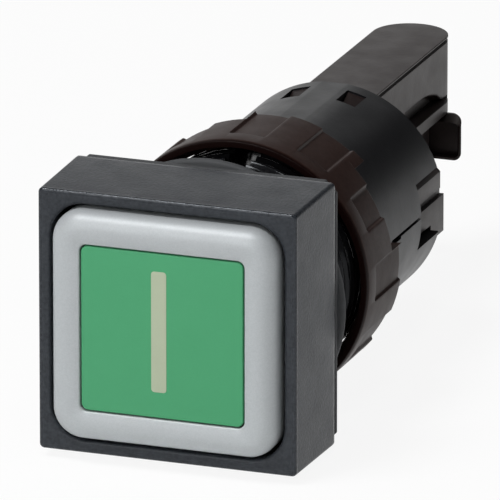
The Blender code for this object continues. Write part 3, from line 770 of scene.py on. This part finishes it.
def edge_polish(place):
    """Handling polishes the bezel's outer edges, at the front and at the back."""
    x, y, z = (coordinate(place, axis) for axis in "XYZ")
    reach = x.maths("MAXIMUM", x.maths("ABSOLUTE", x, 0.0), z.maths("ABSOLUTE", z, 0.0))
    front = 1 - rise(y, BEZEL_LOW.y + FRONT_EASE, BEZEL_LOW.y + 2 * FRONT_EASE)
    back = rise(y, BEZEL_HIGH.y - 2 * FRONT_EASE, BEZEL_HIGH.y - FRONT_EASE)
    return rise(reach, front_half - 2 * FRONT_EASE, front_half - FRONT_EASE) * (front + back)


# The profile from the outer rear edge round the front and down the aperture to the hole in its floor.
front_half = BEZEL_HIGH.x - BEZEL_DRAFT
floor_depth = BEZEL_HIGH.y - BEZEL_FLOOR
front_in, front_back = eased(FRONT_EASE)
mouth_back, mouth_out = eased(APERTURE_EASE)
bezel_half = np.concatenate((
    [BEZEL_HIGH.x - REAR_EASE, BEZEL_HIGH.x],
    front_half - front_in,
    APERTURE_HALF + mouth_out,
    [APERTURE_HALF, APERTURE_HALF - BEZEL_FILLET, BEZEL_HOLE, BEZEL_HOLE],
))
bezel_depth = np.concatenate((
    [BEZEL_HIGH.y, BEZEL_HIGH.y - REAR_EASE],
    BEZEL_LOW.y + front_back,
    BEZEL_LOW.y + mouth_back,
    [floor_depth - BEZEL_FILLET, floor_depth, floor_depth, BEZEL_HIGH.y],
))
bezel_corner = np.concatenate((
    [OUTER_CORNER, OUTER_CORNER],
    np.full(EASE_POINTS, OUTER_CORNER),
    np.full(EASE_POINTS, APERTURE_CORNER),
    [APERTURE_CORNER, APERTURE_CORNER, BEZEL_HOLE, BEZEL_HOLE],
))
bezel = closed_ring(square_rings(bezel_half, bezel_half, bezel_corner, bezel_depth))
slate = moulded_plastic(
    "slate_plastic",
    dark=(0.008, 0.0098, 0.0128),
    light=(0.038, 0.0425, 0.0500),
    roughness=0.41,
    grain=0.2,
    grain_depth=0.014,
    shine=0.36,
    gloss=(0.91, 0.95, 1.0),
    polish=edge_polish,
)
make_piece("bezel_moulding", bezel, slate, "housing", ["front_bezel"])
refinish(carrier_brown, "lock_ring")

# Seal plate and gasket: grey rubber behind the bezel, a thin square with its corners cut off and a round
# ring that seats on the panel. Both are pushed over the barrel.
SEAL_EASE = 0.06
GASKET_LOW, GASKET_HIGH = (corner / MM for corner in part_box("panel_gasket"))
GASKET_BORE = 8.05
GASKET_EASE = 0.25
seal_mesh = solid_copy("bezel_seal_plate")
eased_piece("seal_plate_moulding", seal_mesh, "bezel_seal_plate", rubber, "housing", SEAL_EASE)
gasket_in, gasket_back = eased(GASKET_EASE)
gasket_radius = np.concatenate((
    GASKET_HIGH.x - gasket_in[::-1],
    GASKET_HIGH.x - gasket_in,
    [GASKET_BORE, GASKET_BORE],
))
gasket_depth = np.concatenate((
    GASKET_HIGH.y - gasket_back[::-1],
    GASKET_LOW.y + gasket_back,
    [GASKET_LOW.y, GASKET_HIGH.y],
))
full_turn = np.linspace(0, 2 * math.pi, COLUMNS, endpoint=False)
gasket_angle, gasket_radius = np.meshgrid(full_turn, gasket_radius)
gasket_depth = np.repeat(gasket_depth[:, None], COLUMNS, axis=1)
gasket = closed_ring(round_grid(gasket_radius, gasket_angle, gasket_depth))
make_piece("gasket_ring", gasket, rubber, "housing", ["panel_gasket"])

# Ring nut: brown-black moulding that clamps the panel from behind. It has a chamfered front lip round a
# recess, shallow grip valleys between twelve pads, and four gaps in its rear edge for a spanner. The
# lip's front and the mouth of the recess are coloured near-black red: painted shade for the bezel's shadow.
NUT_LOW, NUT_HIGH = (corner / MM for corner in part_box("ring_nut"))
NUT_RADIUS = NUT_HIGH.x
NUT_BORE = 8.2
LIP_BORE = 8.8
LIP_TAPER = 0.1
LIP_LENGTH = 0.3
LIP_EASE = 0.05
# Painted shade: near-black red for the lip's front, where the bezel's shadow falls.
LIP_PAINTED_SHADE = (0.006, 0.0016, 0.0013)
PAINTED_SHADE_FADE = 0.2
RECESS = 2.0
VALLEY_START = 1.65
VALLEY_DEPTH = 0.2
VALLEY_RAMP = 0.3
PADS = 12
PAD_PHASE = math.radians(14)
PAD_EDGE = math.radians(0.6)
CROWN_GAPS = 4
CROWN_PHASE = math.radians(26)
CROWN_GAP = math.radians(38)
CROWN_DEPTH = 1.8
CROWN_EASE = 0.16
RAMP_POINTS = 7
ANGLE_DIGITS = 6


def from_nearest(angle, phase, turn):
    """How far each angle is from the nearest of the marks that stand one `turn` apart from `phase` on."""
    return np.abs(np.mod(angle - phase + turn / 2, turn) - turn / 2)


def edge_drop(distance, radius):
    """How far a rounded edge of `radius` falls away at a distance from the end face."""
    inside = np.clip(radius - distance, 0, radius)
    return radius - np.sqrt(np.maximum(radius**2 - inside**2, 0))


def nut_skin(angle, depth):
    """Outer radius: full on the pads, less in the valleys between them and along the lip's chamfer.

    The front edge is rounded, and so is the rear edge, which stands at the crown's floor in the gaps.
    """
    valley = smooth_step((from_nearest(angle, PAD_PHASE, pad_turn) - pad_turn / 4) / (2 * PAD_EDGE) + 0.5)
    valley *= smooth_step((depth - valley_front) / VALLEY_RAMP)
    front_drop = edge_drop(depth - NUT_LOW.y, LIP_EASE)
    chamfer = np.clip(1 - (depth - NUT_LOW.y) / LIP_LENGTH, 0, 1)
    in_gap = from_nearest(angle, CROWN_PHASE, crown_turn) < CROWN_GAP / 2 + MERGE
    rear_edge = np.where(in_gap, crown_floor, NUT_HIGH.y)
    rear_drop = edge_drop(np.abs(rear_edge - depth), CROWN_EASE) * (depth < rear_edge + MERGE)
    return NUT_RADIUS - VALLEY_DEPTH * valley - front_drop - LIP_TAPER * chamfer - rear_drop


def paint_front_shade(material, colour, start, end):
    """Paint shade into a finish's colour towards the front: all of it before `start` millimetres, none
    behind `end`.
    """
    tree = material.node_tree
    shader = tree.nodes["Principled BSDF"].inputs
    under = Wire(tree, shader["Base Color"].links[0].from_socket)
    place = Wire(tree, tree.nodes["Texture Coordinate"].outputs["Object"])
    painted_shade = 1 - rise(coordinate(place, "Y"), start, end)
    under.feed(shader["Base Color"], tint(painted_shade, under, colour))


pad_turn = 2 * math.pi / PADS
crown_turn = 2 * math.pi / CROWN_GAPS
crown_floor = NUT_HIGH.y - CROWN_DEPTH
valley_front = NUT_LOW.y + VALLEY_START
lip_end = NUT_LOW.y + LIP_LENGTH
recess_end = NUT_LOW.y + RECESS
pad_edges = PAD_PHASE + pad_turn * (np.arange(2 * PADS) / 2 + 0.25)
pad_ramps = pad_edges[:, None] + np.linspace(-PAD_EDGE, PAD_EDGE, RAMP_POINTS)
gap_centres = CROWN_PHASE + crown_turn * np.arange(CROWN_GAPS)
gap_edges = gap_centres[:, None] + CROWN_GAP / 2 * np.array([-1, 1])
nut_columns = np.concatenate((full_turn, pad_ramps.ravel(), gap_edges.ravel()))
nut_columns = np.unique(np.round(np.mod(nut_columns, 2 * math.pi), ANGLE_DIGITS))
nut_rows = np.unique(np.concatenate((
    NUT_LOW.y + eased(LIP_EASE)[1],
    steps_at([lip_end]),
    np.linspace(valley_front, valley_front + VALLEY_RAMP, RAMP_POINTS),
    steps_at([recess_end]),
    crown_floor - np.linspace(0, CROWN_EASE, EASE_POINTS),
    NUT_HIGH.y - np.linspace(0, CROWN_EASE, EASE_POINTS),
)))
nut_angle, nut_depth = np.meshgrid(nut_columns, nut_rows)
from_gap = from_nearest(nut_angle, CROWN_PHASE, crown_turn)[:-1]
cell_from_gap = np.maximum(from_gap, np.roll(from_gap, -1, axis=1))
cell_depth = (nut_depth[:-1] + nut_depth[1:]) / 2
nut_kept = ~((cell_from_gap < CROWN_GAP / 2 + 2 * MERGE) & (cell_depth > crown_floor))
nut_outside = round_grid(nut_skin(nut_angle, nut_depth), nut_angle, nut_depth)
nut_bore = np.where(nut_depth < recess_end, LIP_BORE, NUT_BORE)
nut = pierced_shell(nut_outside, round_grid(nut_bore, nut_angle, nut_depth), nut_kept)
brown = moulded_plastic(
    "brown_plastic",
    dark=(0.021, 0.0108, 0.0090),
    light=(0.036, 0.0200, 0.0168),
    roughness=0.42,
    grain=0.3,
    grain_depth=0.002,
    shine=0.08,
    gloss=(1.0, 0.95, 0.92),
)
# The lip's front is painted darker as shade, since the bezel's shadow falls there.
paint_front_shade(brown, LIP_PAINTED_SHADE, lip_end - PAINTED_SHADE_FADE, lip_end)
make_piece("nut_moulding", nut, brown, "nut", ["ring_nut"])

# Legend card and green plate: a pale card lies behind a satin green plate, which drops into the frame
# from the front. The base clips in behind them.
PLATE_LOW, PLATE_HIGH = (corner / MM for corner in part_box("button_plate"))
PLATE_CORNER = 0.45
PLATE_EASE = 0.1
CARD_DARK = (0.72, 0.70, 0.62)
CARD_LIGHT = (0.82, 0.80, 0.72)
CARD_ROUGHNESS = 0.7
CARD_SWING = 0.15
FIBRE_SIZE = 0.35
FIBRE_DETAIL = 4.0
SATIN_GRAIN = 0.12
SATIN_GRAIN_DEPTH = 0.004
SATIN_DETAIL = 3.0
SATIN_CLOUD = 3.0
SATIN_GLOSS_SIZE = 0.8
SATIN_SWING = 0.12
SATIN_SHINE = 0.3


def plain_card(name):
    """Uncoated card with a faint fibre mottle."""
    material, shader, place = start_finish(name)
    fibre = noise(place, FIBRE_SIZE, detail=FIBRE_DETAIL)
    place.feed(shader["Base Color"], tint(fibre, CARD_DARK, CARD_LIGHT))
    place.feed(shader["Roughness"], CARD_ROUGHNESS + CARD_SWING * fibre)
    return material


def satin_plate(name, dark, light, roughness):
    """Satin coloured plastic: nearly even colour with a very fine grain."""
    material, shader, place = start_finish(name)
    speck = noise(place, SATIN_GRAIN, detail=SATIN_DETAIL)
    mottle = 0.5 * speck + 0.5 * noise(place, SATIN_CLOUD)
    place.feed(shader["Base Color"], tint(mottle, dark, light))
    gloss = SATIN_SWING * noise(place, SATIN_GLOSS_SIZE)
    place.feed(shader["Roughness"], roughness - SATIN_SWING / 2 + gloss)
    place.feed(shader["Normal"], relief(speck, SATIN_GRAIN_DEPTH))
    shader["Specular IOR Level"].default_value = SATIN_SHINE
    return material


refinish(carrier_brown, "button_base")
refinish(plain_card("pale_card"), "legend_insert")
green = satin_plate("green_plastic", dark=(0.058, 0.318, 0.142), light=(0.070, 0.352, 0.164), roughness=0.5)
plate_in, plate_back = eased(PLATE_EASE)
plate_half = np.concatenate(([PLATE_HIGH.x], PLATE_HIGH.x - plate_in))
plate_depth = np.concatenate(([PLATE_HIGH.y], PLATE_LOW.y + plate_back))
plate_corner = np.full(plate_half.size, PLATE_CORNER)
plate = capped_tube(square_rings(plate_half, plate_half, plate_corner, plate_depth))
make_piece("plate_moulding", plate, green, "button", ["button_plate"])

# On sign: an upright bar of cream print with softly rounded ends. It is inlaid in the plate and stands
# proud of it by a hair.
SIGN_WIDTH = 1.06
SIGN_HEIGHT = 8.3
SIGN_CENTRE = (-0.21, 0.27)
SIGN_CORNER = 0.22
SIGN_PROUD = 0.02
SIGN_DEPTH = 0.12
SIGN_EASE = 0.02
sign_in, sign_back = eased(SIGN_EASE)
sign_inset = np.concatenate(([0], sign_in))
sign_rings = square_rings(
    SIGN_WIDTH / 2 - sign_inset,
    SIGN_HEIGHT / 2 - sign_inset,
    SIGN_CORNER - sign_inset,
    PLATE_LOW.y - SIGN_PROUD + np.concatenate(([SIGN_DEPTH], sign_back)),
)
sign = capped_tube(sign_rings + np.array([SIGN_CENTRE[0], 0, SIGN_CENTRE[1]]))
cream = satin_plate("cream_print", dark=(0.40, 0.45, 0.32), light=(0.46, 0.52, 0.38), roughness=0.55)
make_piece("on_sign_bar", sign, cream, "button", [])

# Button frame: silver lacquered surround of the plate, pillowed, that slides in the bezel's aperture.
# Its front rolls over a full outer edge and dips softly to the plate.
FRAME_LOW, FRAME_HIGH = (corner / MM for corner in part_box("button_frame"))
FRAME_PLAY = 0.08
FRAME_SIDE = FRAME_HIGH.x - FRAME_PLAY
FRAME_WALL = 0.9
FRAME_CORNER = 2.1
FRAME_ROLL = 1.2
FRAME_PROUD = 1.15
FRAME_DIP = 0.12
PLATE_PLAY = 0.1
PLATE_BACKING = 0.4
OPENING_HALF = PLATE_HIGH.x + PLATE_PLAY
OPENING_CORNER = 0.5
OPENING_EASE = 0.15
ROLL_POINTS = 14
SILVER_DARK = (0.43, 0.455, 0.47)
SILVER_LIGHT = (0.47, 0.495, 0.51)
SILVER_ROUGHNESS = 0.44
SILVER_SWING = 0.08
SILVER_GLOSS_SIZE = 1.2
SILVER_METAL = 0.2
FLAKE_SIZE = 0.07
FLAKE_DEPTH = 0.0004


def silver_lacquer(name):
    """Satin silver paint: fine flakes, each with its own shade, that sparkle a little."""
    material, shader, place = start_finish(name)
    sockets = {"Vector": place, "Scale": 1 / (FLAKE_SIZE * MM)}
    flake = place.node("ShaderNodeTexVoronoi", {}, sockets, output="Color")
    glint = flake.node("ShaderNodeSeparateColor", {}, {"Color": flake})
    place.feed(shader["Base Color"], tint(glint, SILVER_DARK, SILVER_LIGHT))
    place.feed(shader["Roughness"], SILVER_ROUGHNESS + SILVER_SWING * noise(place, SILVER_GLOSS_SIZE))
    place.feed(shader["Normal"], relief(glint, FLAKE_DEPTH))
    shader["Metallic"].default_value = SILVER_METAL
    return material


# The profile in four stretches: outer roll (an ellipse), dip (a parabola), the opening's edge, the cavity.
roll = np.linspace(0, QUARTER, ROLL_POINTS)
roll_in = FRAME_ROLL * (1 - np.cos(roll))
roll_half = FRAME_SIDE - roll_in
roll_depth = FRAME_LOW.y + FRAME_PROUD * (1 - np.sin(roll))
roll_corner = np.maximum(FRAME_CORNER - roll_in, OPENING_CORNER)
dip = np.linspace(0, 1, ROLL_POINTS)[1:]
dip_half = roll_half[-1] + dip * (OPENING_HALF + OPENING_EASE - roll_half[-1])
dip_depth = FRAME_LOW.y + FRAME_DIP * dip**2
dip_corner = roll_corner[-1] + dip * (OPENING_CORNER - roll_corner[-1])
edge_back, edge_out = (steps[1:] for steps in eased(OPENING_EASE))
edge_half = OPENING_HALF + edge_out
edge_depth = FRAME_LOW.y + FRAME_DIP + edge_back
edge_corner = np.full(edge_half.size, OPENING_CORNER)
cavity_side = FRAME_SIDE - FRAME_WALL
cavity_front = PLATE_HIGH.y + PLATE_BACKING
cavity_half = [OPENING_HALF, cavity_side, cavity_side]
cavity_depth = [cavity_front, cavity_front, FRAME_HIGH.y]
cavity_corner = [OPENING_CORNER, FRAME_CORNER / 2, FRAME_CORNER / 2]
frame_half = np.concatenate(([FRAME_SIDE], roll_half, dip_half, edge_half, cavity_half))
frame_depth = np.concatenate(([FRAME_HIGH.y], roll_depth, dip_depth, edge_depth, cavity_depth))
frame_corner = np.concatenate(([FRAME_CORNER], roll_corner, dip_corner, edge_corner, cavity_corner))
surround = closed_ring(square_rings(frame_half, frame_half, frame_corner, frame_depth))
silver = silver_lacquer("silver_paint")
make_piece("frame_moulding", surround, silver, "button", ["button_frame"])

# Studio: a white paper floor that keeps a light shadow, two soft boxes above the front, one before the
# object, a large one behind to the left and a faint one behind, and a surround that is white along the
# horizon and dark overhead.
FLOOR_HALF = 1.5
FLOOR_DROP = 0.0001
FLOOR_GLOW = 0.9
FLOOR_RAYS = ("Camera", "Glossy", "Transmission")
PAPER_DARK = (0.92, 0.92, 0.92)
PAPER_LIGHT = (0.94, 0.94, 0.94)
PAPER_MOTTLE = 40.0
PAPER_ROUGHNESS = 0.9
HORIZON = ((0.02, 1.0), (0.06, 0.04))
floor_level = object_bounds()[0].z - FLOOR_DROP
floor_mesh = bpy.data.meshes.new("studio_floor")
floor_corners = np.array([[-1, -1, 0], [1, -1, 0], [1, 1, 0], [-1, 1, 0]]) * FLOOR_HALF
floor_mesh.from_pydata(floor_corners + np.array([0, 0, floor_level]), [], [(0, 1, 2, 3)])
floor = bpy.data.objects.new("studio_floor", floor_mesh)
bpy.context.scene.collection.objects.link(floor)
paper, paper_shader, paper_place = start_finish("studio_paper")
paper_mottle = noise(paper_place, PAPER_MOTTLE)
paper_place.feed(paper_shader["Base Color"], tint(paper_mottle, PAPER_DARK, PAPER_LIGHT))
paper_shader["Roughness"].default_value = PAPER_ROUGHNESS
paper_shader["Specular IOR Level"].default_value = 0.0
floor_mesh.materials.append(paper)
rays = (paper_place.node("ShaderNodeLightPath", {}, {}, output=f"Is {ray} Ray") for ray in FLOOR_RAYS)
camera_ray, glossy_ray, clear_ray = rays
glow_share = FLOOR_GLOW * (camera_ray + glossy_ray + clear_ray)
glow = paper_place.node("ShaderNodeEmission", {}, {"Color": (1.0, 1.0, 1.0, 1.0), "Strength": 1.0})
paper_body = Wire(paper.node_tree, paper.node_tree.nodes["Principled BSDF"].outputs["BSDF"])
paper_mix = paper_body.node("ShaderNodeMixShader", {}, {0: glow_share, 1: paper_body, 2: glow})
paper_body.feed(paper.node_tree.nodes["Material Output"].inputs["Surface"], paper_mix)


def soft_box(name, place, size, power):
    """Square area lamp that faces the object."""
    lamp = bpy.data.lights.new(name, "AREA")
    lamp.shape = "SQUARE"
    lamp.size = size
    lamp.energy = power
    holder = bpy.data.objects.new(name, lamp)
    holder.location = place
    holder.rotation_euler = (-Vector(place)).to_track_quat("-Z", "Y").to_euler()
    bpy.context.scene.collection.objects.link(holder)


soft_box("top_soft_box", place=(-0.2, -0.25, 0.62), size=0.24, power=3.0)
soft_box("side_soft_box", place=(0.14, -0.26, 0.6), size=0.12, power=0.5)
soft_box("front_soft_box", place=(-0.3, -0.9, 0.4), size=0.5, power=3.4)
soft_box("rear_soft_box", place=(-0.55, 1.0, 0.45), size=0.8, power=1.6)
soft_box("back_fill_box", place=(0.06, 1.05, 0.53), size=0.35, power=0.15)
world = bpy.data.worlds.new("studio")
bpy.context.scene.world = world
world.use_nodes = True
sky = Wire(world.node_tree, world.node_tree.nodes.new("ShaderNodeTexCoord").outputs["Generated"])
shade = sky.node("ShaderNodeValToRGB", {"stops": HORIZON}, {"Fac": coordinate(sky, "Z")})
backdrop = world.node_tree.nodes["Background"].inputs
sky.feed(backdrop["Color"], shade)
backdrop["Strength"].default_value = 1.0

# Camera of the photograph: to the right of the button's axis and above it, far off with a long lens. It
# aims a little behind the panel, and its sight width is what the picture spans there.
AZIMUTH = math.radians(19.93)
ELEVATION = math.radians(17.71)
DISTANCE = 0.8064
SIGHT_WIDTH = 0.03332
AIM = Vector((0.0, 0.00748, 0.00087))
SENSOR = 36.0
CLIP_END = 10.0
sight = Vector((
    -math.sin(AZIMUTH) * math.cos(ELEVATION),
    math.cos(AZIMUTH) * math.cos(ELEVATION),
    -math.sin(ELEVATION),
))
lens = bpy.data.cameras.new("photo_camera")
lens.sensor_width = SENSOR
lens.lens = SENSOR * DISTANCE / SIGHT_WIDTH
lens.clip_end = CLIP_END
camera = bpy.data.objects.new("photo_camera", lens)
camera.location = AIM - sight * DISTANCE
camera.rotation_euler = sight.to_track_quat("-Z", "Y").to_euler()
bpy.context.scene.collection.objects.link(camera)
bpy.context.scene.camera = camera
bpy.context.scene.view_settings.view_transform = "Standard"
